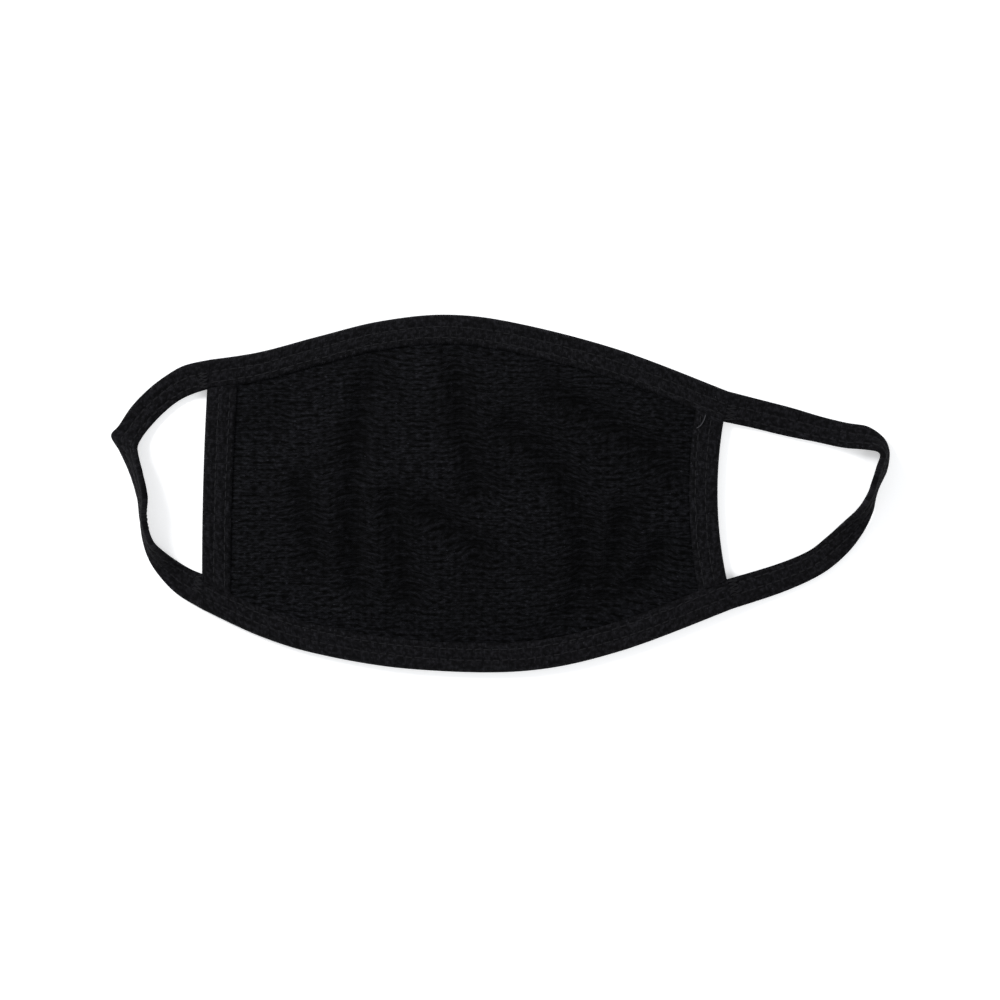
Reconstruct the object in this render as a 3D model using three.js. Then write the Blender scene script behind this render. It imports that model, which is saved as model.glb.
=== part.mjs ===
// A knitted cotton face mask, lying on a table with its outer side up.
// Millimetres, +Z up, +X towards the longer ear loop, +Y towards the nose edge.
// The origin is on the table, under the middle of the whole mask.
import * as THREE from "three";

// Driving dimensions.
const TAPE_WIDTH = 10; // the folded tape that binds every edge
const TAPE_WALL = 1; // one side of the folded tape
const HEM_WALL = 1; // the panel where the tape grips it
const PANEL_WALL = 1.9; // the panel's layers where they lie free
const GAP = 0.3; // between neighbouring pieces
const TABLE_HEIGHT = 0;
const TAPE_THICKNESS = HEM_WALL + 2 * (GAP + TAPE_WALL);
const EDGE_HEIGHT = TAPE_THICKNESS / 2; // the hem's mid-surface above the table
const TAPE_TILT = 0.13; // how steeply the long tapes lean up towards the crown
const CROWN_RISE = 7.8; // how far the slack panel stands above its tapes
const FOLD_FADE = 12; // folds fade out over this distance from the seams
const LOOP_WALL = 2.2;
const LOOP_CHAMFER = 0.6;
const PUFF_LENGTH = 5; // the panel reaches its full thickness this far from the seam

// Mesh density.
const COLUMNS = 40;
const ROWS = 26;
const SIDE_STEPS = 14;
const STEPS_PER_LOOP_ROW = 3;

// The nose edge, the chin edge and the two side edges, as seen from above.
const NOSE_EDGE = [
  { x: -97.0, y: 44.4 },
  { x: -80.0, y: 47.0 },
  { x: -60.0, y: 52.3 },
  { x: -40.0, y: 57.2 },
  { x: -18.0, y: 59.4 },
  { x: 5.0, y: 56.7 },
  { x: 40.0, y: 47.6 },
  { x: 76.5, y: 33.7 },
];
const CHIN_EDGE = [
  { x: -99.2, y: -38.8 },
  { x: -80.0, y: -47.7 },
  { x: -60.0, y: -53.8 },
  { x: -30.0, y: -58.6 },
  { x: 8.0, y: -59.3 },
  { x: 40.0, y: -52.7 },
  { x: 78.0, y: -38.4 },
];
const LEFT_EDGE_BEND = { x: -99.7, y: 3 };
const RIGHT_EDGE_BEND = { x: 67.8, y: -3 };

// Soft valleys that the slack knit has fallen into, each a curve from its start
// past its bend to its end.
const FOLDS = [
  { startX: -42.7, startY: 45.0, bendX: -51.0, bendY: 9.0, endX: -47.7, endY: -30.0, depth: 1.7, reach: 5.5 },
  { startX: -15.0, startY: 50.3, bendX: -14.0, bendY: 24.0, endX: -7.7, endY: 1.3, depth: 1.4, reach: 5.0 },
  { startX: -66.0, startY: 3.3, bendX: -65.0, bendY: -9.0, endX: -61.7, endY: -19.3, depth: 1.0, reach: 4.5 },
  { startX: -35.7, startY: -2.0, bendX: -34.0, bendY: -18.0, endX: -30.3, endY: -33.3, depth: 1.1, reach: 5.0 },
  { startX: 18.3, startY: 34.7, bendX: 37.0, bendY: 24.0, endX: 58.7, endY: 8.3, depth: 1.5, reach: 5.0 },
  { startX: 2.7, startY: 22.3, bendX: 36.0, bendY: 2.0, endX: 25.0, endY: -39.7, depth: 1.6, reach: 5.5 },
  { startX: 41.0, startY: -7.3, bendX: 39.0, bendY: -20.0, endX: 33.0, endY: -37.0, depth: 1.0, reach: 4.5 },
  { startX: 53.3, startY: -17.7, bendX: 47.0, bendY: -38.0, endX: 20.0, endY: -42.0, depth: 1.2, reach: 5.0 },
  { startX: -25.0, startY: -5.3, bendX: -17.0, bendY: -10.0, endX: -7.7, endY: -17.7, depth: 0.9, reach: 4.5 },
];

// The ear loops, row by row from the nose edge to the chin edge. Each row gives the
// strap's outer edge and inner edge, so a strap lies flat where both are low and
// stands on its edge where one is above the other. The first and last rows, at the
// mask's corners, are worked out from the panel.
const LEFT_LOOP = [
  { outerX: -105.0, outerY: 42.6, outerZ: 1.2, innerX: -101.9, innerY: 33.0, innerZ: 1.2 },
  { outerX: -111.2, outerY: 39.2, outerZ: 1.1, innerX: -107.1, innerY: 30.5, innerZ: 1.1 },
  { outerX: -117.2, outerY: 34.6, outerZ: 1.1, innerX: -112.1, innerY: 26.5, innerZ: 1.1 },
  { outerX: -122.8, outerY: 28.8, outerZ: 1.1, innerX: -116.4, innerY: 22.0, innerZ: 1.4 },
  { outerX: -127.0, outerY: 22.5, outerZ: 1.1, innerX: -119.3, innerY: 18.3, innerZ: 2.6 },
  { outerX: -129.6, outerY: 18.9, outerZ: 1.1, innerX: -120.6, innerY: 15.6, innerZ: 5.0 },
  { outerX: -126.4, outerY: 14.2, outerZ: 0.9, innerX: -120.7, innerY: 12.6, innerZ: 7.6 },
  { outerX: -122.7, outerY: 6.6, outerZ: 0.6, innerX: -119.3, innerY: 6.2, innerZ: 8.9 },
  { outerX: -120.2, outerY: -1.2, outerZ: 0.5, innerX: -117.9, innerY: -1.0, innerZ: 9.4 },
  { outerX: -118.9, outerY: -9.4, outerZ: 0.4, innerX: -118.3, innerY: -8.8, innerZ: 9.6 },
  { outerX: -117.9, outerY: -16.8, outerZ: 0.5, innerX: -116.0, innerY: -16.2, innerZ: 9.1 },
  { outerX: -116.3, outerY: -22.9, outerZ: 0.9, innerX: -111.3, innerY: -20.4, innerZ: 6.4 },
  { outerX: -112.8, outerY: -28.5, outerZ: 1.1, innerX: -106.6, innerY: -23.3, innerZ: 2.6 },
  { outerX: -107.2, outerY: -34.0, outerZ: 1.1, innerX: -102.6, innerY: -25.4, innerZ: 1.3 },
];
const RIGHT_LOOP = [
  { outerX: 86.9, outerY: 31.1, outerZ: 1.2, innerX: 84.2, innerY: 21.5, innerZ: 1.2 },
  { outerX: 97.3, outerY: 28.4, outerZ: 1.1, innerX: 95.0, innerY: 18.9, innerZ: 1.1 },
  { outerX: 107.3, outerY: 25.4, outerZ: 1.1, innerX: 105.3, innerY: 16.9, innerZ: 2.0 },
  { outerX: 115.5, outerY: 23.4, outerZ: 1.1, innerX: 114.2, innerY: 15.1, innerZ: 3.0 },
  { outerX: 122.6, outerY: 22.1, outerZ: 1.1, innerX: 121.2, innerY: 14.6, innerZ: 4.2 },
  { outerX: 127.0, outerY: 18.6, outerZ: 0.9, innerX: 125.2, innerY: 13.4, innerZ: 6.8 },
  { outerX: 128.8, outerY: 13.6, outerZ: 0.8, innerX: 127.0, innerY: 11.4, innerZ: 8.8 },
  { outerX: 128.0, outerY: 7.4, outerZ: 0.5, innerX: 126.6, innerY: 7.0, innerZ: 9.5 },
  { outerX: 125.7, outerY: 2.8, outerZ: 0.4, innerX: 125.1, innerY: 3.2, innerZ: 9.5 },
  { outerX: 124.3, outerY: -1.4, outerZ: 0.6, innerX: 123.0, innerY: -0.4, innerZ: 9.2 },
  { outerX: 123.7, outerY: -6.4, outerZ: 1.1, innerX: 119.4, innerY: -5.5, innerZ: 7.4 },
  { outerX: 121.0, outerY: -13.0, outerZ: 1.2, innerX: 114.3, innerY: -9.9, innerZ: 4.2 },
  { outerX: 115.6, outerY: -20.2, outerZ: 1.1, innerX: 108.5, innerY: -14.8, innerZ: 1.4 },
  { outerX: 107.2, outerY: -27.0, outerZ: 1.1, innerX: 102.3, innerY: -19.4, innerZ: 1.2 },
  { outerX: 94.6, outerY: -32.9, outerZ: 1.1, innerX: 91.5, innerY: -23.8, innerZ: 1.1 },
];

const clamp = THREE.MathUtils.clamp;
const lerp = THREE.MathUtils.lerp;
const roundedRise = (t) => 1 - (1 - clamp(t, 0, 1)) ** 2;

// The panel as a patch between its four edges: u runs left to right, v chin to nose.
const curveThrough = (rows) => new THREE.SplineCurve(rows.map((row) => new THREE.Vector2(row.x, row.y)));
const bentCurve = (from, bend, to) =>
  new THREE.QuadraticBezierCurve(
    new THREE.Vector2(from.x, from.y),
    new THREE.Vector2(bend.x, bend.y),
    new THREE.Vector2(to.x, to.y),
  );
const noseCurve = curveThrough(NOSE_EDGE);
const chinCurve = curveThrough(CHIN_EDGE);
const leftCurve = bentCurve(CHIN_EDGE[0], LEFT_EDGE_BEND, NOSE_EDGE[0]);
const rightCurve = bentCurve(CHIN_EDGE.at(-1), RIGHT_EDGE_BEND, NOSE_EDGE.at(-1));
const MID_WIDTH = leftCurve.getPoint(0.5).distanceTo(rightCurve.getPoint(0.5));

const heightAt = (u) => noseCurve.getPointAt(u).distanceTo(chinCurve.getPointAt(u));

function planPoint(u, v) {
  const chin = chinCurve.getPointAt(u);
  const nose = noseCurve.getPointAt(u);
  const left = leftCurve.getPoint(v);
  const right = rightCurve.getPoint(v);
  const between = (axis) => {
    const lowCorners = lerp(CHIN_EDGE[0][axis], CHIN_EDGE.at(-1)[axis], u);
    const highCorners = lerp(NOSE_EDGE[0][axis], NOSE_EDGE.at(-1)[axis], u);
    const ruled = lerp(chin[axis], nose[axis], v) + lerp(left[axis], right[axis], u);
    return ruled - lerp(lowCorners, highCorners, v);
  };
  return new THREE.Vector2(between("x"), between("y"));
}

const SEAM = TAPE_WIDTH + GAP; // from an edge to where the panel leaves its tape
const foldLines = FOLDS.map((fold) => {
  const curve = bentCurve(
    { x: fold.startX, y: fold.startY },
    { x: fold.bendX, y: fold.bendY },
    { x: fold.endX, y: fold.endY },
  );
  return { depth: fold.depth, reach: fold.reach, points: curve.getPoints(24) };
});

// A valley with a low ridge along each side of it.
function foldHeight(point) {
  return foldLines.reduce((height, { depth, reach, points }) => {
    const nearest = Math.min(...points.map((p) => p.distanceTo(point)));
    const q = (nearest / reach) ** 2;
    return height - depth * (1 - q) * Math.exp(-q);
  }, 0);
}

// The panel's mid-surface at a patch point, given how far it is from the nearer side
// edge and from the nearer long edge.
function midSurface(u, v) {
  const point = planPoint(u, v);
  const fromSide = Math.min(u, 1 - u) * MID_WIDTH;
  const height = heightAt(u);
  const fromLongEdge = Math.min(v, 1 - v) * height;
  const alongRise = roundedRise((fromSide - SEAM) / (MID_WIDTH / 2 - SEAM));
  const acrossRise = roundedRise((fromLongEdge - SEAM) / (height / 2 - SEAM));
  const tilt = TAPE_TILT * Math.min(fromLongEdge, SEAM);
  const inside = Math.min(fromSide, fromLongEdge) - SEAM;
  const folds = inside > 0 ? foldHeight(point) * clamp(inside / FOLD_FADE, 0, 1) : 0;
  const z = EDGE_HEIGHT + alongRise * (tilt + CROWN_RISE * acrossRise) + folds;
  return new THREE.Vector3(point.x, point.y, z);
}

const raised = (point, offset) => new THREE.Vector3(point.x, point.y, point.z + offset);

// A closed solid through rings of points. Each ring goes out along one side of its
// section and back along the other, so the ends close like a ladder.
function solidThrough(rings) {
  const size = rings[0].length;
  const last = (rings.length - 1) * size;
  const faces = [];
  const addQuad = (a, b, c, d) => faces.push(a, b, c, a, c, d);
  for (let start = 0; start < last; start += size) {
    for (let k = 0; k < size; k++) {
      const next = (k + 1) % size;
      addQuad(start + k, start + next, start + size + next, start + size + k);
    }
  }
  for (let k = 0; k < size / 2 - 1; k++) {
    addQuad(size - 1 - k, size - 2 - k, k + 1, k);
    addQuad(last + k, last + k + 1, last + size - 2 - k, last + size - 1 - k);
  }
  const points = rings.flat();
  if (signedVolume(points, faces) < 0) faces.reverse();
  const geometry = new THREE.BufferGeometry().setFromPoints(points);
  geometry.setIndex(faces);
  geometry.computeVertexNormals();
  return geometry;
}

function signedVolume(points, faces) {
  let sum = 0;
  for (let i = 0; i < faces.length; i += 3) {
    const [a, b, c] = [points[faces[i]], points[faces[i + 1]], points[faces[i + 2]]];
    sum += a.dot(b.clone().cross(c)) / 6;
  }
  return sum;
}

const steps = (count) => Array.from({ length: count + 1 }, (_, i) => i / count);

// Distances from one edge to the other: into the tape, to the seam, across, and back.
function panelStations(length, count) {
  const inTape = [TAPE_WALL + GAP, (TAPE_WALL + GAP + SEAM) / 2];
  const between = steps(count - 2 * inTape.length).map((t) => lerp(SEAM, length - SEAM, t));
  return [...inTape, ...between, ...inTape.reverse().map((d) => length - d)];
}

function facePanel() {
  const rings = panelStations(MID_WIDTH, COLUMNS).map((across) => {
    const u = across / MID_WIDTH;
    const height = heightAt(u);
    const fromSide = Math.min(across, MID_WIDTH - across);
    const column = panelStations(height, ROWS).map((up) => {
      const inside = Math.min(fromSide, up, height - up) - SEAM;
      const wall = lerp(HEM_WALL, PANEL_WALL, clamp(inside / PUFF_LENGTH, 0, 1));
      return { mid: midSurface(u, up / height), half: wall / 2 };
    });
    const under = column.map(({ mid, half }) => raised(mid, -half));
    const over = column.map(({ mid, half }) => raised(mid, half));
    return [...under, ...over.reverse()];
  });
  return solidThrough(rings);
}

// The folded tape's section, as distance in from the edge and height above the hem's
// middle: round the outside from the underside to the top, and back along the slot.
const TAPE_ROUND = 1.1;
const SLOT = HEM_WALL / 2 + GAP;
const TAPE_SECTION = [
  { inward: TAPE_WIDTH, up: -EDGE_HEIGHT },
  { inward: TAPE_ROUND, up: -EDGE_HEIGHT },
  { inward: 0, up: TAPE_ROUND - EDGE_HEIGHT },
  { inward: 0, up: EDGE_HEIGHT - TAPE_ROUND },
  { inward: TAPE_ROUND, up: EDGE_HEIGHT },
  { inward: TAPE_WIDTH, up: EDGE_HEIGHT },
  { inward: TAPE_WIDTH, up: SLOT },
  { inward: TAPE_WIDTH / 2, up: SLOT },
  { inward: TAPE_WALL, up: SLOT },
  { inward: TAPE_WALL, up: -SLOT },
  { inward: TAPE_WIDTH / 2, up: -SLOT },
  { inward: TAPE_WIDTH, up: -SLOT },
];

function longBinding(onNoseEdge) {
  const rings = steps(COLUMNS).map((u) => {
    const height = heightAt(u);
    return TAPE_SECTION.map(({ inward, up }) => {
      const v = inward / height;
      return raised(midSurface(u, onNoseEdge ? 1 - v : v), up);
    });
  });
  return solidThrough(rings);
}

function sideBinding(onRight) {
  const rings = steps(SIDE_STEPS).map((t) =>
    TAPE_SECTION.map(({ inward, up }) => {
      const u = onRight ? 1 - inward / MID_WIDTH : inward / MID_WIDTH;
      const end = SEAM / heightAt(u);
      return raised(midSurface(u, lerp(end, 1 - end, t)), up);
    }),
  );
  return solidThrough(rings);
}

// Where a strap butts against the end of a long binding.
function cornerRow(u, onNoseEdge) {
  const v = onNoseEdge ? 1 : 0;
  const inset = TAPE_WIDTH / heightAt(u);
  const outer = midSurface(u, v);
  const inner = midSurface(u, onNoseEdge ? 1 - inset : inset);
  const away = new THREE.Vector3(u === 0 ? -GAP : GAP, 0, 0);
  return { outer: outer.add(away), inner: inner.add(away) };
}

function earLoop(table, u) {
  const rows = table.map((row) => ({
    outer: new THREE.Vector3(row.outerX, row.outerY, row.outerZ),
    inner: new THREE.Vector3(row.innerX, row.innerY, row.innerZ),
  }));
  rows.unshift(cornerRow(u, true));
  rows.push(cornerRow(u, false));
  const outerEdge = new THREE.CatmullRomCurve3(rows.map((row) => row.outer));
  const innerEdge = new THREE.CatmullRomCurve3(rows.map((row) => row.inner));
  const places = steps((rows.length - 1) * STEPS_PER_LOOP_ROW);
  const rings = places.map((t) => {
    const outer = outerEdge.getPoint(t);
    const inner = innerEdge.getPoint(t);
    const along = outerEdge.getTangent(t).add(innerEdge.getTangent(t)).normalize();
    return strapRing(outer, inner, along);
  });
  return solidThrough(rings);
}

// A strap's section between its two edges, with its four corners chamfered.
function strapRing(outer, inner, along) {
  const across = inner.clone().sub(outer).normalize();
  const face = along.clone().cross(across).normalize();
  const point = (edge, inward, up) => {
    const corner = edge.clone().addScaledVector(across, inward).addScaledVector(face, up);
    corner.z = Math.max(corner.z, TABLE_HEIGHT);
    return corner;
  };
  const half = LOOP_WALL / 2;
  const cut = LOOP_CHAMFER;
  return [
    point(outer, 0, cut - half),
    point(outer, cut, -half),
    point(inner, -cut, -half),
    point(inner, 0, cut - half),
    point(inner, 0, half - cut),
    point(inner, -cut, half),
    point(outer, cut, half),
    point(outer, 0, half - cut),
  ];
}

const knit = new THREE.MeshStandardMaterial({ color: 0x121214, roughness: 0.95, metalness: 0 });
const tape = new THREE.MeshStandardMaterial({ color: 0x1a1a1c, roughness: 0.9, metalness: 0 });

const mask = new THREE.Group();
const pieces = [
  { name: "face_panel", geometry: facePanel(), material: knit },
  { name: "binding_top", geometry: longBinding(true), material: tape },
  { name: "binding_bottom", geometry: longBinding(false), material: tape },
  { name: "binding_left", geometry: sideBinding(false), material: tape },
  { name: "binding_right", geometry: sideBinding(true), material: tape },
  { name: "ear_loop_left", geometry: earLoop(LEFT_LOOP, 0), material: tape },
  { name: "ear_loop_right", geometry: earLoop(RIGHT_LOOP, 1), material: tape },
];
for (const { name, geometry, material } of pieces) {
  const piece = new THREE.Mesh(geometry, material);
  piece.name = name;
  mask.add(piece);
}

export default mask;
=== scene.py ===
import math

import bpy
import numpy as np
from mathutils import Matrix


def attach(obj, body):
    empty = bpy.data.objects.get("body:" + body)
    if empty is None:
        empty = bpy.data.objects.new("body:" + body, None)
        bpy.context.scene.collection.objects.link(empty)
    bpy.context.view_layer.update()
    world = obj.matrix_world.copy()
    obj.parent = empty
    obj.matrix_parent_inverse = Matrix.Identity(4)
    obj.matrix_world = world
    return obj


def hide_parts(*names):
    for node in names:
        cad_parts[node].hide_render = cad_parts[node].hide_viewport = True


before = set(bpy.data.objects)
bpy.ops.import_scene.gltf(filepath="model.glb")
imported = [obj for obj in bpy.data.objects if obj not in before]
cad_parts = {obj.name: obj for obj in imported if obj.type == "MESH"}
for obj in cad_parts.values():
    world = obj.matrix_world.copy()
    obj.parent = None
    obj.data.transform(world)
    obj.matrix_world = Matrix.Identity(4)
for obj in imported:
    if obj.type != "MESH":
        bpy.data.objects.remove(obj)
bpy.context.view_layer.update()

MM = 0.001
BODY = "root"

# ---------------------------------------------------------------- sizes, in millimetres
TAPE_WIDTH = 10.0
TAPE_WALL = 1.0
HEM_WALL = 1.0
PANEL_WALL = 1.9
GAP = 0.3
EDGE_HEIGHT = HEM_WALL / 2 + GAP + TAPE_WALL
TAPE_TILT = 0.13
CROWN_RISE = 7.8
FOLD_FADE = 12.0
FOLD_DEPTH = 1.3  # the worn cloth creases a little deeper than the CAD panel
PUFF_LENGTH = 5.0
SEAM = TAPE_WIDTH + GAP
STRAP_HALF = 1.1  # half a strap's thickness
TUCK = 0.5  # how far the ends of straps and side tapes reach into the long tapes
STRAP_TAPER = 12.0  # a strap thins from the bindings' thickness over this length

STITCH_ROWS = (4.2, 7.8)  # the two needle rows, in from a tape's outer edge
STITCH_PITCH = 2.9
STITCH_START = 1.2  # how far from a tape's end its first stitch begins
THREAD_RADIUS = 0.23
LOOPER_START = 1.5  # the same for the zigzag on the underside
LOOPER_SINK = 0.04  # how far the zigzag lies in the cloth

TACK_TURNS = 4  # a bar tack's zigzags
TACK_START, TACK_REACH = 0.4, 3.2  # where it starts along the strap, and how far it swings
TACK_INWARD, TACK_WIDTH = 4.3, 4.8  # where it starts across the strap, and how far it goes
TACK_LIFT = 0.16

RIB_PITCH = 4.3  # the panel's heavy courses
RIB_HEIGHT = 0.30
LIGHT_RIB_HEIGHT = 0.05  # the faint ones between them
WALE_PITCH = 2.3  # the columns that cross them
BEAD_HEIGHT = 0.035
RIB_WANDER, RIB_JITTER = 1.5, 0.5  # how far the courses stray, slowly and quickly
FOLD_PULL = 2.2  # how far a fold draws the courses aside

# ---------------------------------------------------------------- how finely things are divided
PANEL_COLUMN_STEP = 0.78
PANEL_ROW_STEP = 0.55
TAPE_STEP = 0.55
CURVE_SAMPLES = 1200
LONG_TAPE_SAMPLES = 400
SIDE_TAPE_SAMPLES = 200
STRAP_SAMPLES = 700
FOLD_SAMPLES = 40
SHARP_ANGLE = math.radians(60)

# ---------------------------------------------------------------- edges, folds and straps
# The outline and the folds are those of the CAD pieces that they replace. So are the straps, but
# the right one turns a little more sharply at its outer corner.
NOSE_EDGE = [
    (-97.0, 44.4), (-80.0, 47.0), (-60.0, 52.3), (-40.0, 57.2),
    (-18.0, 59.4), (5.0, 56.7), (40.0, 47.6), (76.5, 33.7),
]
CHIN_EDGE = [
    (-99.2, -38.8), (-80.0, -47.7), (-60.0, -53.8), (-30.0, -58.6),
    (8.0, -59.3), (40.0, -52.7), (78.0, -38.4),
]
LEFT_EDGE_BEND = (-99.7, 3.0)
RIGHT_EDGE_BEND = (67.8, -3.0)

FOLDS = [  # start, bend, end, depth, reach
    ((-42.7, 45.0), (-51.0, 9.0), (-47.7, -30.0), 1.7, 5.5),
    ((-15.0, 50.3), (-14.0, 24.0), (-7.7, 1.3), 1.4, 5.0),
    ((-66.0, 3.3), (-65.0, -9.0), (-61.7, -19.3), 1.0, 4.5),
    ((-35.7, -2.0), (-34.0, -18.0), (-30.3, -33.3), 1.1, 5.0),
    ((18.3, 34.7), (37.0, 24.0), (58.7, 8.3), 1.5, 5.0),
    ((2.7, 22.3), (36.0, 2.0), (25.0, -39.7), 1.6, 5.5),
    ((41.0, -7.3), (39.0, -20.0), (33.0, -37.0), 1.0, 4.5),
    ((53.3, -17.7), (47.0, -38.0), (20.0, -42.0), 1.2, 5.0),
    ((-25.0, -5.3), (-17.0, -10.0), (-7.7, -17.7), 0.9, 4.5),
]

LEFT_LOOP = [  # the strap's outer edge, then its inner edge
    ((-105.0, 42.6, 1.2), (-101.9, 33.0, 1.2)),
    ((-111.2, 39.2, 1.1), (-107.1, 30.5, 1.1)),
    ((-117.2, 34.6, 1.1), (-112.1, 26.5, 1.1)),
    ((-122.8, 28.8, 1.1), (-116.4, 22.0, 1.4)),
    ((-127.0, 22.5, 1.1), (-119.3, 18.3, 2.6)),
    ((-129.6, 18.9, 1.1), (-120.6, 15.6, 5.0)),
    ((-126.4, 14.2, 0.9), (-120.7, 12.6, 7.6)),
    ((-122.7, 6.6, 0.6), (-119.3, 6.2, 8.9)),
    ((-120.2, -1.2, 0.5), (-117.9, -1.0, 9.4)),
    ((-118.9, -9.4, 0.4), (-118.3, -8.8, 9.6)),
    ((-117.9, -16.8, 0.5), (-116.0, -16.2, 9.1)),
    ((-116.3, -22.9, 0.9), (-111.3, -20.4, 6.4)),
    ((-112.8, -28.5, 1.1), (-106.6, -23.3, 2.6)),
    ((-107.2, -34.0, 1.1), (-102.6, -25.4, 1.3)),
]
RIGHT_LOOP = [
    ((86.9, 31.1, 1.2), (84.2, 21.5, 1.2)),
    ((97.3, 28.4, 1.1), (95.0, 18.9, 1.1)),
    ((107.3, 25.4, 1.1), (105.3, 16.9, 2.0)),
    ((115.5, 23.4, 1.1), (114.2, 15.1, 3.0)),
    ((122.6, 22.1, 1.1), (121.2, 14.6, 4.2)),
    ((127.0, 18.6, 0.9), (125.8, 14.1, 6.8)),
    ((128.8, 13.6, 0.8), (127.2, 12.3, 8.8)),
    ((128.0, 7.4, 0.5), (125.9, 8.7, 9.5)),
    ((125.7, 2.8, 0.4), (124.6, 4.2, 9.5)),
    ((124.3, -1.4, 0.6), (123.0, -0.4, 9.2)),
    ((123.7, -6.4, 1.1), (119.4, -5.5, 7.4)),
    ((121.0, -13.0, 1.2), (114.3, -9.9, 4.2)),
    ((115.6, -20.2, 1.1), (108.5, -14.8, 1.4)),
    ((107.2, -27.0, 1.1), (102.3, -19.4, 1.2)),
    ((94.6, -32.9, 1.1), (91.5, -23.8, 1.1)),
]


# ---------------------------------------------------------------- curves and noise
def through(points, t):
    """Places t, from 0 to 1, on a smooth curve through the points, a stretch to each gap."""
    points = np.asarray(points, float)
    padded = np.vstack([points[:1], points, points[-1:]])
    place = np.clip(np.asarray(t, float), 0, 1) * (len(points) - 1)
    k = np.minimum(place.astype(int), len(points) - 2)
    f = (place - k)[..., None]
    a, b, c, d = (padded[k + i] for i in range(4))
    return 0.5 * (
        2 * b
        + (c - a) * f
        + (2 * a - 5 * b + 4 * c - d) * f**2
        + (3 * b - a - 3 * c + d) * f**3
    )


def bent(start, bend, end, t):
    """Places t on the curve from start to end that leans towards bend."""
    t = np.asarray(t, float)[..., None]
    start, bend, end = (np.asarray(p, float) for p in (start, bend, end))
    return (1 - t) ** 2 * start + 2 * t * (1 - t) * bend + t**2 * end


def lengths(points):
    """How far along a chain of points each one lies."""
    gaps = np.linalg.norm(np.diff(points, axis=0), axis=1)
    return np.concatenate([[0], np.cumsum(gaps)])


def even_edge(table):
    """A function from 0..1 to places spaced evenly along the curve through the table."""
    fine = through(table, np.linspace(0, 1, CURVE_SAMPLES))
    along = lengths(fine)
    share = along / along[-1]
    return lambda u: np.stack([np.interp(u, share, fine[:, k]) for k in (0, 1)], axis=-1)


def soft_noise(x, y, seed):
    """Smooth noise from -1 to 1 with a swell about as wide as one unit of x and y."""
    lattice = np.random.default_rng(seed).uniform(-1, 1, (64, 64))
    xi, yi = np.floor(x).astype(int), np.floor(y).astype(int)
    fx, fy = x - xi, y - yi
    fx, fy = fx * fx * (3 - 2 * fx), fy * fy * (3 - 2 * fy)

    def at(i, j):
        return lattice[(xi + i) % 64, (yi + j) % 64]

    low = at(0, 0) * (1 - fx) + at(1, 0) * fx
    high = at(0, 1) * (1 - fx) + at(1, 1) * fx
    return low * (1 - fy) + high * fy


def rounded_rise(t):
    """A rise from 0 to 1 that flattens out at its top."""
    return 1 - (1 - np.clip(t, 0, 1)) ** 2


# ---------------------------------------------------------------- the lying panel
nose_edge = even_edge(NOSE_EDGE)
chin_edge = even_edge(CHIN_EDGE)


def left_edge(v):
    return bent(CHIN_EDGE[0], LEFT_EDGE_BEND, NOSE_EDGE[0], v)


def right_edge(v):
    return bent(CHIN_EDGE[-1], RIGHT_EDGE_BEND, NOSE_EDGE[-1], v)


MID_WIDTH = float(np.linalg.norm(right_edge(0.5) - left_edge(0.5)))


def height_at(u):
    """The panel's height between its long edges."""
    return np.linalg.norm(nose_edge(u) - chin_edge(u), axis=-1)


def plan(u, v):
    """The patch between the panel's four edges: u runs left to right, v chin to nose."""
    u, v = np.broadcast_arrays(np.asarray(u, float), np.asarray(v, float))
    a, b = u[..., None], v[..., None]
    low = (1 - a) * np.array(CHIN_EDGE[0]) + a * np.array(CHIN_EDGE[-1])
    high = (1 - a) * np.array(NOSE_EDGE[0]) + a * np.array(NOSE_EDGE[-1])
    ruled = (1 - b) * chin_edge(u) + b * nose_edge(u)
    sides = (1 - a) * left_edge(v) + a * right_edge(v)
    return ruled + sides - (1 - b) * low - b * high


def fold_parts(x, y):
    """How deep the folds press the panel down, and how much of a fold a place is in."""
    depth_sum, closeness = np.zeros_like(x), np.zeros_like(x)
    for start, bend, end, depth, reach in FOLDS:
        nearest = np.full(x.shape, np.inf)
        for px, py in bent(start, bend, end, np.linspace(0, 1, FOLD_SAMPLES)):
            nearest = np.minimum(nearest, (x - px) ** 2 + (y - py) ** 2)
        q = nearest / reach**2
        depth_sum += depth * (1 - q) * np.exp(-q)
        closeness = np.maximum(closeness, np.exp(-0.7 * q))
    return FOLD_DEPTH * depth_sum, closeness


def mid_surface(u, v):
    """The panel's mid-surface, in millimetres, with x, y and z last."""
    place = plan(u, v)
    height = height_at(u)
    from_side = np.minimum(u, 1 - u) * MID_WIDTH
    from_long_edge = np.minimum(v, 1 - v) * height
    along = rounded_rise((from_side - SEAM) / (MID_WIDTH / 2 - SEAM))
    across = rounded_rise((from_long_edge - SEAM) / (height / 2 - SEAM))
    tilt = TAPE_TILT * np.minimum(from_long_edge, SEAM)
    inside = np.minimum(from_side, from_long_edge) - SEAM
    fade = np.clip(inside / FOLD_FADE, 0, 1)
    pressed, _ = fold_parts(place[..., 0], place[..., 1])
    swell = 0.55 * soft_noise(place[..., 0] / 17, place[..., 1] / 23, 11)
    z = EDGE_HEIGHT + along * (tilt + CROWN_RISE * across) + fade * (swell - pressed)
    return np.concatenate([place, z[..., None]], axis=-1)


# ---------------------------------------------------------------- meshes
def outward(points, faces):
    """The faces, turned round if they face into the solid."""
    a, b, c, d = (points[faces[:, k]] - points.mean(axis=0) for k in range(4))
    volume = np.sum(a * np.cross(b, c)) + np.sum(a * np.cross(c, d))
    return faces if volume > 0 else faces[:, ::-1]


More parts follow.
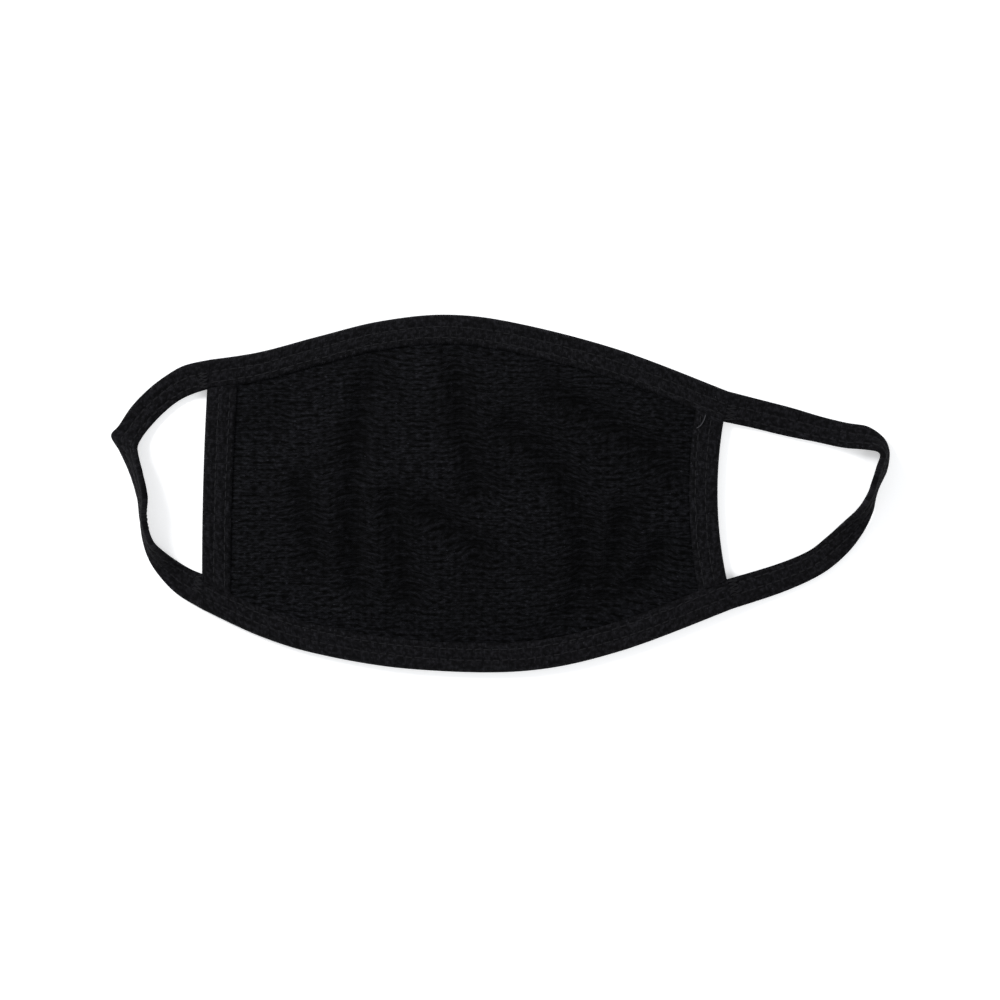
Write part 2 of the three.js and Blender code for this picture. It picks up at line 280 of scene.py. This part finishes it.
def make_piece(name, points, faces, material, uv=None, painted_crease_shade=None):
    """A mesh object from points in millimetres and faces that are all quads."""
    faces = outward(points, faces)
    mesh = bpy.data.meshes.new(name)
    mesh.from_pydata((points * MM).tolist(), [], faces.tolist())
    if uv is not None:
        layer = mesh.uv_layers.new(name="cloth")
        corners = np.zeros(len(mesh.loops), np.int32)
        mesh.loops.foreach_get("vertex_index", corners)
        layer.data.foreach_set("uv", uv[corners].astype(np.float32).ravel())
    # Painted shade for the panel's folds, kept as a value at each point.
    if painted_crease_shade is not None:
        layer = mesh.attributes.new("painted_crease_shade", "FLOAT", "POINT")
        layer.data.foreach_set("value", painted_crease_shade.astype(np.float32).ravel())
    mesh.polygons.foreach_set("use_smooth", np.ones(len(mesh.polygons), bool))
    mesh.materials.append(material)
    mesh.update()
    mesh.set_sharp_from_angle(angle=SHARP_ANGLE)
    piece = bpy.data.objects.new(name, mesh)
    bpy.context.scene.collection.objects.link(piece)
    return piece


def ladder_faces(rings, size):
    """Quads of a closed solid swept through rings that go out on one side and back on the other."""
    k = np.arange(size)
    start = (np.arange(rings - 1) * size)[:, None]
    after = (k + 1) % size
    sides = np.stack(
        [start + k, start + after, start + size + after, start + size + k], axis=-1
    ).reshape(-1, 4)
    rung = np.arange(size // 2 - 1)
    first = np.stack([size - 1 - rung, size - 2 - rung, rung + 1, rung], axis=-1)
    last = first[:, ::-1] + (rings - 1) * size
    return np.vstack([sides, first, last])


def directions(points):
    """The way a chain of points runs at each one, as unit lengths."""
    ahead = np.gradient(points, axis=0)
    return ahead / np.maximum(np.linalg.norm(ahead, axis=1, keepdims=True), 1e-9)


def thread(points, radius, sides=6):
    """A round thread along the points, as (points, faces), narrowed and closed at each end."""
    points = np.asarray(points, float)
    ahead = directions(points)
    up = np.where(np.abs(ahead[:, 2:]) < 0.9, [[0, 0, 1.0]], [[1.0, 0, 0]])
    side = np.cross(ahead, up)
    side /= np.linalg.norm(side, axis=1, keepdims=True)
    up = np.cross(side, ahead)
    angle = np.linspace(0, 2 * math.pi, sides, endpoint=False)
    width = np.full(len(points), radius)
    width[[0, -1]] *= 0.45
    ring = np.cos(angle)[None, :, None] * side[:, None] + np.sin(angle)[None, :, None] * up[:, None]
    made = points[:, None] + width[:, None, None] * ring
    return made.reshape(-1, 3), ladder_faces(len(points), sides)


def joined(parts):
    """Several (points, faces) as one."""
    points, faces, count = [], [], 0
    for p, f in parts:
        points.append(p)
        faces.append(outward(p, f) + count)
        count += len(p)
    return np.vstack(points), np.vstack(faces)


# ---------------------------------------------------------------- tapes and straps
class Ribbon:
    """A tape or strap between two edge lines, with its thickness at each station."""

    def __init__(self, outer, inner, half):
        self.outer, self.inner, self.half = outer, inner, half
        self.along = lengths((outer + inner) / 2)
        across = inner - outer
        across /= np.linalg.norm(across, axis=1, keepdims=True)
        ahead = directions((outer + inner) / 2)
        face = np.cross(ahead, across)
        face /= np.linalg.norm(face, axis=1, keepdims=True)
        self.face = face if face[0, 2] > 0 else -face

    def sampled(self, line, s):
        return np.stack([np.interp(s, self.along, line[:, k]) for k in range(3)], axis=-1)

    def place(self, s, inward, up):
        """Points at s along, inward from the outer edge (of a ten wide tape) and up off its middle."""
        outer, inner, face = (self.sampled(line, s) for line in (self.outer, self.inner, self.face))
        share = np.asarray(inward, float)[..., None] / TAPE_WIDTH
        return outer + (inner - outer) * share + face * np.asarray(up, float)[..., None]

    def half_at(self, s):
        return np.interp(s, self.along, self.half)


def relief(s, inward, seed):
    """How far a tape's face stands off flat: puffs between its needle rows, and puckers along them."""
    rows = sum(np.exp(-(((inward - row) / 0.55) ** 2)) for row in STITCH_ROWS)
    pull = 0.72 + 0.28 * np.cos(2 * math.pi * s / STITCH_PITCH)
    puffs = 0.16 * np.sin(math.pi * np.clip(inward / STITCH_ROWS[0], 0, 1))
    middle = (inward - STITCH_ROWS[0]) / (STITCH_ROWS[1] - STITCH_ROWS[0])
    puffs = puffs + 0.14 * np.sin(math.pi * np.clip(middle, 0, 1))
    wrinkle = 0.07 * soft_noise(s / 1.7 + inward * 0.25, inward / 2.6, seed)
    wander = 0.10 * soft_noise(s / 9.0, inward / 6.0, seed + 1)
    return puffs - 0.42 * rows * pull + wrinkle + wander


TAPE_ROUND = 1.15  # how far in from its folded edge a tape is rounded
FACE_STEPS = np.concatenate([np.linspace(TAPE_ROUND, 9.0, 17), [9.5, 9.85]])
LIP = np.array([0.0] * 16 + [0.08, 0.4, 0.85])  # how far the free edge has rounded over
LIP_HALF = 0.8


def tape_section(ribbon, s, seed, with_hem):
    """Rings round a tape: under it, round its folded edge, over it, and back along the slot or edge."""
    half = ribbon.half_at(s)[:, None]
    turn = np.linspace(-math.pi / 2, math.pi / 2, 10)[None, 1:-1]
    inward_round = TAPE_ROUND * (1 - np.cos(turn)) + 0 * half
    up_round = np.sin(turn) * half
    face = FACE_STEPS[None] + 0 * half
    rounding = LIP[None] * (half - np.minimum(LIP_HALF, 0.6 * half))
    stand = relief(s[:, None], face, seed)
    over = half - rounding + stand * (1 - LIP)
    under = rounding - half - 0.6 * relief(s[:, None], face, seed + 5) * (1 - LIP)
    under = np.maximum(under, -half - 0.05)
    inward = np.hstack([face[:, ::-1], inward_round, face])
    up = np.hstack([under[:, ::-1], up_round, over])
    count = inward.shape[1]
    if with_hem:
        slot = HEM_WALL / 2 + 0.12
        back = np.linspace(FACE_STEPS[-1], TAPE_WALL, count // 2)
        back = np.concatenate([back, back[::-1]])
        edge = np.repeat([slot, -slot], count // 2)
        inward = np.hstack([inward, back[None] + 0 * half])
        up = np.hstack([up, edge[None] + 0 * half])
    return ribbon.place(s[:, None], inward, up), inward


def tape_piece(name, ribbon, material, seed, with_hem):
    """A tape or strap as an object, with its cloth coordinates in millimetres."""
    s = np.linspace(0, ribbon.along[-1], int(ribbon.along[-1] / TAPE_STEP))
    rings, inward = tape_section(ribbon, s, seed, with_hem)
    rings[..., 2] = np.maximum(rings[..., 2], 0.0)
    uv = np.stack([np.repeat(s[:, None], inward.shape[1], axis=1), inward], axis=-1)
    faces = ladder_faces(*rings.shape[:2])
    return make_piece(name, rings.reshape(-1, 3), faces, material, uv.reshape(-1, 2))


def long_ribbon(on_nose_edge):
    """The tape round the panel's nose edge or chin edge."""
    u = np.linspace(0, 1, LONG_TAPE_SAMPLES)
    inset = TAPE_WIDTH / height_at(u)
    outer = mid_surface(u, np.ones_like(u) if on_nose_edge else np.zeros_like(u))
    inner = mid_surface(u, 1 - inset if on_nose_edge else inset)
    return Ribbon(outer, inner, np.full(len(u), EDGE_HEIGHT))


def side_ribbon(on_right):
    """The tape round the panel's left or right edge, between the long ones."""
    inset = TAPE_WIDTH / MID_WIDTH
    u_outer, u_inner = (1.0, 1 - inset) if on_right else (0.0, inset)
    t = np.linspace(0, 1, SIDE_TAPE_SAMPLES)
    lines = []
    for u in (u_outer, u_inner):
        end = (TAPE_WIDTH - TUCK) / height_at(u)
        lines.append(mid_surface(np.full(len(t), u), end + t * (1 - 2 * end)))
    return Ribbon(lines[0], lines[1], np.full(len(t), EDGE_HEIGHT))


def loop_ribbon(table, u, chin_width):
    """A strap from the nose edge's tape round to the chin edge's, its ends just inside both."""
    inset = TAPE_WIDTH / height_at(u)
    start_u = u + (1 - 2 * u) * TUCK / MID_WIDTH
    chin_inset = inset * chin_width / TAPE_WIDTH

    def corner(v):
        return mid_surface(np.array(start_u), np.array(v)).tolist()

    rows = [(corner(1.0), corner(1 - inset)), *table, (corner(0.0), corner(chin_inset))]
    t = np.linspace(0, 1, STRAP_SAMPLES)
    outer = through([row[0] for row in rows], t)
    inner = through([row[1] for row in rows], t)
    along = lengths((outer + inner) / 2)
    from_end = np.minimum(along, along[-1] - along)
    half = STRAP_HALF + (EDGE_HEIGHT - STRAP_HALF) * (1 - rounded_rise(from_end / STRAP_TAPER))
    return Ribbon(outer, inner, half)


# ---------------------------------------------------------------- stitches
def needle_stitches(ribbon, seed):
    """Short arched stitches along both needle rows, on the upper face."""
    parts = []
    total = ribbon.along[-1]
    reach = np.linspace(-1, 1, 7)
    rng = np.random.default_rng(seed)
    for row in STITCH_ROWS:
        first = STITCH_START + STITCH_PITCH / 2
        for middle in np.arange(first, total - STITCH_START, STITCH_PITCH):
            half_length = STITCH_PITCH * rng.uniform(0.37, 0.42)
            s = middle + reach * half_length
            inward = row + rng.normal(0, 0.06) + reach * rng.normal(0, 0.07)
            arch = 0.30 - 0.62 * reach**4
            up = ribbon.half_at(s) + relief(s, inward, seed) + arch * THREAD_RADIUS * 1.6
            parts.append(thread(ribbon.place(s, inward, up), THREAD_RADIUS))
    return parts


def looper_thread(ribbon, seed):
    """The looper thread that zigzags between the needle rows on the underside."""
    total = ribbon.along[-1]
    s = np.arange(LOOPER_START, total - LOOPER_START, STITCH_PITCH / 8)
    swing = np.sin(2 * math.pi * s / STITCH_PITCH)
    middle = sum(STITCH_ROWS) / 2
    inward = middle + swing * (STITCH_ROWS[1] - STITCH_ROWS[0]) / 2
    up = -(ribbon.half_at(s) + 0.6 * relief(s, inward, seed) - LOOPER_SINK)
    return thread(ribbon.place(s, inward, up), THREAD_RADIUS * 0.9)


def bar_tack(ribbon, at_start, seed):
    """A short zigzag over the tape's inner half, where a strap leaves the mask's corner."""
    t = np.linspace(0, TACK_TURNS, TACK_TURNS * 10 + 1)
    zigzag = 2 * np.abs(t - np.round(t))
    s = TACK_START + TACK_REACH * zigzag
    inward = TACK_INWARD + TACK_WIDTH * t / TACK_TURNS
    if not at_start:
        s = ribbon.along[-1] - s
    up = ribbon.half_at(s) + relief(s, inward, seed) + TACK_LIFT
    return thread(ribbon.place(s, inward, up), THREAD_RADIUS * 0.8)


def stitch_piece(name, parts, material):
    """Threads joined as one object, none of them below the floor."""
    points, faces = joined(parts)
    points[:, 2] = np.maximum(points[:, 2], 0.0)
    return make_piece(name, points, faces, material)


# ---------------------------------------------------------------- the knitted panel
def stations(length, step):
    """Distances from one hidden edge of the panel to the other: its hem, then an even run."""
    hem = np.array([TAPE_WALL + 0.2, 4.0, 7.0])
    start = 9.2
    run = np.linspace(start, length - start, int((length - 2 * start) / step))
    return np.concatenate([hem, run, length - hem[::-1]])


def knit_panel(material):
    """The knitted panel, out to its hems inside the tapes."""
    across = stations(MID_WIDTH, PANEL_COLUMN_STEP)
    u = (across / MID_WIDTH)[:, None]
    heights = height_at(u[:, 0])
    rows = [stations(height, PANEL_ROW_STEP * height / heights.max()) for height in heights]
    count = min(len(row) for row in rows)
    share = np.linspace(0, 1, count)
    up = np.array([np.interp(share, np.linspace(0, 1, len(row)), row) for row in rows])
    v = up / heights[:, None]
    mid = mid_surface(u + 0 * v, v)
    x, y = mid[..., 0], mid[..., 1]
    inside = np.minimum(
        np.minimum(across, MID_WIDTH - across)[:, None],
        np.minimum(up, heights[:, None] - up),
    ) - SEAM
    wall = HEM_WALL + (PANEL_WALL - HEM_WALL) * np.clip(inside / PUFF_LENGTH, 0, 1)
    _, closeness = fold_parts(x, y)
    slow, quick = soft_noise(x / 34, y / 30, 3), soft_noise(x / 11, y / 13, 4)
    course = y + (RIB_WANDER * slow + RIB_JITTER * quick) - FOLD_PULL * closeness
    ribs = rib_relief(x, course, closeness) * np.clip(inside / 1.5 + 0.2, 0, 1)
    over = mid + np.stack([0 * x, 0 * x, wall / 2 + ribs], axis=-1)
    under = mid - np.stack([0 * x, 0 * x, wall / 2 + 0.5 * ribs], axis=-1)
    rings = np.concatenate([under, over[:, ::-1]], axis=1)
    cloth = np.stack([x, course], axis=-1)
    uv = np.concatenate([cloth, cloth[:, ::-1]], axis=1)
    faces = ladder_faces(*rings.shape[:2])
    # Painted shade for the folds: how far the material darkens the knit's colour there, fading towards
    # the hems.
    painted_crease_shade = closeness * np.clip(inside / FOLD_FADE + 0.2, 0, 1)
    painted_crease_shade = np.concatenate([painted_crease_shade, painted_crease_shade[:, ::-1]], axis=1)
    points = rings.reshape(-1, 3)
    return make_piece("panel_knit", points, faces, material, uv.reshape(-1, 2), painted_crease_shade)


def rib_relief(x, course, closeness):
    """Rounded courses, beaded by the columns, uneven from place to place and deeper in the folds."""
    heavy = np.abs(np.cos(math.pi * course / RIB_PITCH)) ** 0.8
    light = np.cos(4 * math.pi * course / RIB_PITCH)
    row = np.round(course / RIB_PITCH)
    uneven = 0.65 + 0.55 * soft_noise(x / 6.0, row * 1.37, 8)
    beads = np.cos(2 * math.pi * (x / WALE_PITCH + 0.25 * row))
    strength = uneven * (1 + 0.9 * closeness)
    ribs = RIB_HEIGHT * (heavy - 0.6) + LIGHT_RIB_HEIGHT * light
    return strength * ribs + BEAD_HEIGHT * beads


# ---------------------------------------------------------------- materials
class Shader:
    """Short calls for building a material's nodes."""

    def __init__(self, name):
        self.material = bpy.data.materials.new(name)
        self.material.use_nodes = True
        self.tree = self.material.node_tree
        self.tree.nodes.clear()
        self.surface = self.tree.nodes.new("ShaderNodeBsdfPrincipled")
        output = self.tree.nodes.new("ShaderNodeOutputMaterial")
        self.tree.links.new(self.surface.outputs[0], output.inputs[0])

    def put(self, socket, value):
        if isinstance(value, bpy.types.NodeSocket):
            self.tree.links.new(value, socket)
        else:
            socket.default_value = value

    def math(self, operation, *values):
        node = self.tree.nodes.new("ShaderNodeMath")
        node.operation = operation
        for socket, value in zip(node.inputs, values):
            self.put(socket, value)
        return node.outputs[0]

    def cloth(self):
        """The distance along the cloth and across it, in millimetres."""
        node = self.tree.nodes.new("ShaderNodeUVMap")
        node.uv_map = "cloth"
        split = self.tree.nodes.new("ShaderNodeSeparateXYZ")
        self.put(split.inputs[0], node.outputs[0])
        return split.outputs[0], split.outputs[1]

    def noise(self, x, y, size_x, size_y, detail=2.0):
        """Noise from 0 to 1 whose blotches are that many millimetres long and wide."""
        place = self.tree.nodes.new("ShaderNodeCombineXYZ")
        self.put(place.inputs[0], self.math("DIVIDE", x, size_x))
        self.put(place.inputs[1], self.math("DIVIDE", y, size_y))
        node = self.tree.nodes.new("ShaderNodeTexNoise")
        self.put(node.inputs["Vector"], place.outputs[0])
        node.inputs["Scale"].default_value = 1.0
        node.inputs["Detail"].default_value = detail
        return node.outputs["Fac"]

    def fibres(self, size):
        """Fine noise through the piece's own space, in millimetres."""
        place = self.tree.nodes.new("ShaderNodeTexCoord")
        node = self.tree.nodes.new("ShaderNodeTexNoise")
        self.put(node.inputs["Vector"], place.outputs["Object"])
        node.inputs["Scale"].default_value = 1 / (size * MM)
        node.inputs["Detail"].default_value = 3.0
        return node.outputs["Fac"]

    def between(self, value, low, high):
        """Value stretched from low..high to 0..1."""
        node = self.tree.nodes.new("ShaderNodeMapRange")
        self.put(node.inputs["Value"], value)
        node.inputs["From Min"].default_value = low
        node.inputs["From Max"].default_value = high
        return node.outputs["Result"]

    def loops(self, x, y, wale, course):
        """The little Vs of a knit, 0 to 1 high, with columns along y."""
        lean = self.math("PINGPONG", self.math("DIVIDE", x, wale), 0.5)
        climb = self.math("ADD", self.math("DIVIDE", y, course), self.math("MULTIPLY", lean, 1.1))
        wave = self.math("COSINE", self.math("MULTIPLY", climb, 2 * math.pi))
        column = self.math("SINE", self.math("MULTIPLY", lean, 2 * math.pi))
        raised = self.math("MULTIPLY_ADD", wave, 0.5, 0.5)
        return self.math("MULTIPLY", raised, self.math("MULTIPLY_ADD", column, 0.6, 0.4))

    def point_value(self, name):
        """A value that the mesh carries at each of its points."""
        node = self.tree.nodes.new("ShaderNodeAttribute")
        node.attribute_name = name
        return node.outputs["Fac"]

    def bump(self, height, distance, before=None):
        node = self.tree.nodes.new("ShaderNodeBump")
        node.inputs["Strength"].default_value = 1.0
        node.inputs["Distance"].default_value = distance * MM
        self.put(node.inputs["Height"], height)
        if before is not None:
            self.put(node.inputs["Normal"], before)
        return node.outputs[0]

    def tint(self, colour, level):
        """The colour times level, which varies over the surface."""
        node = self.tree.nodes.new("ShaderNodeMix")
        node.data_type = "RGBA"
        node.blend_type = "MULTIPLY"
        node.inputs["Factor"].default_value = 1.0
        node.inputs["A"].default_value = (*colour, 1)
        self.put(node.inputs["B"], level)
        return node.outputs["Result"]

    def cotton(self, colour, roughness, normal, sheen, specular):
        """The finish that all the cloth shares."""
        self.put(self.surface.inputs["Base Color"], colour)
        self.put(self.surface.inputs["Roughness"], roughness)
        self.put(self.surface.inputs["Normal"], normal)
        self.surface.inputs["Specular IOR Level"].default_value = specular
        self.surface.inputs["Sheen Weight"].default_value = sheen
        self.surface.inputs["Sheen Roughness"].default_value = 0.45
        self.surface.inputs["Sheen Tint"].default_value = (0.55, 0.55, 0.62, 1)
        return self.material


PANEL_COLOUR = (0.0046, 0.0047, 0.0058)
TAPE_COLOUR = (0.0068, 0.0067, 0.0080)
THREAD_COLOUR = (0.0078, 0.0077, 0.0090)
LINT_COLOUR = (0.045, 0.045, 0.050)


def heather(m, x, y, dash, thick):
    """Pale and dark fibres, 0 to about 2, in dashes that long and thick, with odd bright specks."""
    broad = m.between(m.noise(x, y, dash, thick, 2.0), 0.40, 0.64)
    fine = m.between(m.noise(x, y, dash * 0.45, thick * 0.9, 1.0), 0.36, 0.68)
    speck = m.between(m.noise(x, y, dash * 0.5, thick * 0.75, 0.0), 0.74, 0.84)
    both = m.math("MULTIPLY", broad, m.math("MULTIPLY_ADD", fine, 1.3, 0.35))
    return m.math("ADD", both, m.math("MULTIPLY", speck, 2.2))


def panel_material():
    """Heathered rib knit, with painted shade along its folds, deepest in the grooves between courses.
    """
    m = Shader("panel_knit")
    x, y = m.cloth()
    loops = m.loops(x, y, WALE_PITCH / 3, RIB_PITCH / 6)
    fuzz = m.fibres(0.16)
    fibres = heather(m, x, y, 2.6, 0.85)
    wave = m.math("COSINE", m.math("MULTIPLY", y, 4 * math.pi / RIB_PITCH))
    columns = m.math("COSINE", m.math("MULTIPLY", x, 2 * math.pi / WALE_PITCH))
    weave = m.math("ADD", m.math("MULTIPLY", wave, 0.20), m.math("MULTIPLY", columns, 0.08))
    blotch = m.math("MULTIPLY_ADD", m.noise(x, y, 20, 16), 1.2, 0.40)
    level = m.math("ADD", m.math("MULTIPLY_ADD", fibres, 1.25, 0.18), weave)
    level = m.math("MULTIPLY", level, m.math("MULTIPLY_ADD", loops, 0.5, 0.8))
    # Painted shade: the knit's colour is darker along the folds, more in the grooves between courses
    # than on their crests, and lifted a little elsewhere.
    painted_crease_shade = m.point_value("painted_crease_shade")
    stripe = m.math("COSINE", m.math("MULTIPLY", y, 2 * math.pi / RIB_PITCH))
    shade = m.math("MULTIPLY_ADD", stripe, -0.22, 0.52)
    painted_fold_shade = m.math("SUBTRACT", 1.12, m.math("MULTIPLY", painted_crease_shade, shade))
    level = m.math("MULTIPLY", m.math("MULTIPLY", level, blotch), painted_fold_shade)
    normal = m.bump(fuzz, 0.10, m.bump(loops, 0.16, m.bump(fibres, 0.10)))
    roughness = m.math("MULTIPLY_ADD", fuzz, 0.16, 0.80)
    return m.cotton(m.tint(PANEL_COLOUR, level), roughness, normal, 0.014, 0.05)


def tape_material(name):
    """A closer, smoother knit, with columns along the tape."""
    m = Shader(name)
    x, y = m.cloth()
    loops = m.loops(y, x, 0.8, 0.62)
    fuzz = m.fibres(0.14)
    fibres = heather(m, x, y, 1.6, 1.3)
    blotch = m.math("MULTIPLY_ADD", m.noise(x, y, 12, 5), 0.8, 0.60)
    level = m.math("MULTIPLY_ADD", fibres, 1.0, 0.34)
    level = m.math("MULTIPLY", level, m.math("MULTIPLY_ADD", loops, 0.36, 0.86))
    level = m.math("MULTIPLY", level, blotch)
    normal = m.bump(fuzz, 0.08, m.bump(loops, 0.10, m.bump(fibres, 0.12)))
    roughness = m.math("MULTIPLY_ADD", fuzz, 0.18, 0.76)
    return m.cotton(m.tint(TAPE_COLOUR, level), roughness, normal, 0.014, 0.05)


def thread_material(name, colour):
    """Spun thread."""
    m = Shader(name)
    fuzz = m.fibres(0.12)
    level = m.math("MULTIPLY_ADD", fuzz, 0.9, 0.55)
    roughness = m.math("MULTIPLY_ADD", fuzz, 0.2, 0.6)
    return m.cotton(m.tint(colour, level), roughness, m.bump(fuzz, 0.06), 0.03, 0.12)


# ---------------------------------------------------------------- build
panel_cloth = panel_material()
tape_cloth = tape_material("binding_tape")
strap_cloth = tape_material("loop_tape")
thread_look = thread_material("sewing_thread", THREAD_COLOUR)
lint_look = thread_material("lint", LINT_COLOUR)

panel = knit_panel(panel_cloth)
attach(panel, BODY)
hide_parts("face_panel")

TAPES = [  # piece, CAD node, slot, ribbon, holds the panel's hem, noise seed
    ("tape_top", "binding_top", "binding_tape", long_ribbon(True), True, 21),
    ("tape_bottom", "binding_bottom", "binding_tape", long_ribbon(False), True, 31),
    ("tape_left", "binding_left", "binding_tape", side_ribbon(False), True, 41),
    ("tape_right", "binding_right", "binding_tape", side_ribbon(True), True, 51),
    ("strap_left", "ear_loop_left", "loop_tape", loop_ribbon(LEFT_LOOP, 0.0, 12.0), False, 61),
    ("strap_right", "ear_loop_right", "loop_tape", loop_ribbon(RIGHT_LOOP, 1.0, 10.0), False, 71),
]
for name, node, slot, ribbon, with_hem, seed in TAPES:
    cloth = strap_cloth if slot == "loop_tape" else tape_cloth
    tape = tape_piece(name, ribbon, cloth, seed, with_hem)
    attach(tape, BODY)
    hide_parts(node)
    parts = needle_stitches(ribbon, seed) + [looper_thread(ribbon, seed + 5)]
    if not with_hem:
        parts += [bar_tack(ribbon, True, seed), bar_tack(ribbon, False, seed)]
    stitches = stitch_piece(name + "_stitches", parts, thread_look)
    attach(stitches, BODY)


def loose_thread():
    """One pale thread end caught on the right side tape, near its top."""
    t = np.linspace(0, 1, 16)
    line = np.zeros((len(t), 3))
    line[:, :2] = bent((65.4, 21.6), (67.6, 22.4), (68.5, 26.2), t)
    tape_top = mid_surface(np.array(0.95), np.array(0.84))[2] + EDGE_HEIGHT
    line[:, 2] = tape_top + 0.15 + 0.35 * np.sin(math.pi * t)
    return stitch_piece("loose_thread", [thread(line, 0.17)], lint_look)


stray = loose_thread()
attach(stray, BODY)

u = np.linspace(0, 1, LONG_TAPE_SAMPLES)
flat_area = float(np.mean(height_at(u))) * MID_WIDTH * MM**2
float(height_at(u).max()) * MM


# ---------------------------------------------------------------- floor, light, camera
def floor_material():
    """Near-white paper that gives off a little light, so that it comes out as white as the photo."""
    m = Shader("floor")
    place = m.tree.nodes.new("ShaderNodeTexCoord")
    grain = m.tree.nodes.new("ShaderNodeTexNoise")
    m.put(grain.inputs["Vector"], place.outputs["Object"])
    grain.inputs["Scale"].default_value = 6.0
    level = m.math("MULTIPLY_ADD", grain.outputs["Fac"], 0.02, 0.97)
    m.put(m.surface.inputs["Base Color"], m.tint((0.93, 0.94, 0.95), level))
    m.surface.inputs["Roughness"].default_value = 0.9
    m.surface.inputs["Specular IOR Level"].default_value = 0.1
    m.surface.inputs["Emission Color"].default_value = (1, 1, 1, 1)
    m.surface.inputs["Emission Strength"].default_value = 0.4
    return m.material


FLOOR_DROP = 0.0002  # in metres, so that the cloth doesn't share its plane


def make_floor():
    mesh = bpy.data.meshes.new("floor")
    half = 4.0
    corners = [(-half, -half, 0), (half, -half, 0), (half, half, 0), (-half, half, 0)]
    mesh.from_pydata(corners, [], [(0, 1, 2, 3)])
    mesh.materials.append(floor_material())
    floor = bpy.data.objects.new("floor", mesh)
    floor.location.z = -FLOOR_DROP
    bpy.context.scene.collection.objects.link(floor)


def soft_light(name, place, size, power):
    """A square light at place that faces the mask."""
    light = bpy.data.lights.new(name, "AREA")
    light.size = size
    light.energy = power
    lamp = bpy.data.objects.new(name, light)
    lamp.location = place
    direction = -lamp.location
    lamp.rotation_euler = direction.to_track_quat("-Z", "Y").to_euler()
    bpy.context.scene.collection.objects.link(lamp)


def make_world(strength):
    world = bpy.data.worlds.new("studio")
    world.use_nodes = True
    background = world.node_tree.nodes["Background"]
    background.inputs["Color"].default_value = (0.97, 0.98, 1.0, 1)
    background.inputs["Strength"].default_value = strength
    bpy.context.scene.world = world


# The view takes in a third of a metre, a little below the mask's middle.
VIEW_WIDTH = 0.3333
VIEW_CENTRE_Y = -0.00233
CAMERA_HEIGHT = 3.0
SENSOR_WIDTH = 36


def make_camera():
    camera = bpy.data.cameras.new("camera")
    camera.sensor_width = SENSOR_WIDTH
    camera.lens = SENSOR_WIDTH * CAMERA_HEIGHT / VIEW_WIDTH
    camera.clip_end = 20
    holder = bpy.data.objects.new("camera", camera)
    holder.location = (0, VIEW_CENTRE_Y, CAMERA_HEIGHT)
    bpy.context.scene.collection.objects.link(holder)
    bpy.context.scene.camera = holder


make_floor()
make_world(strength=0.45)
soft_light("key", place=(-1.2, 0.9, 1.0), size=0.6, power=32)
soft_light("fill", place=(1.2, -0.7, 1.3), size=1.2, power=14)
make_camera()
bpy.context.scene.view_settings.view_transform = "Standard"
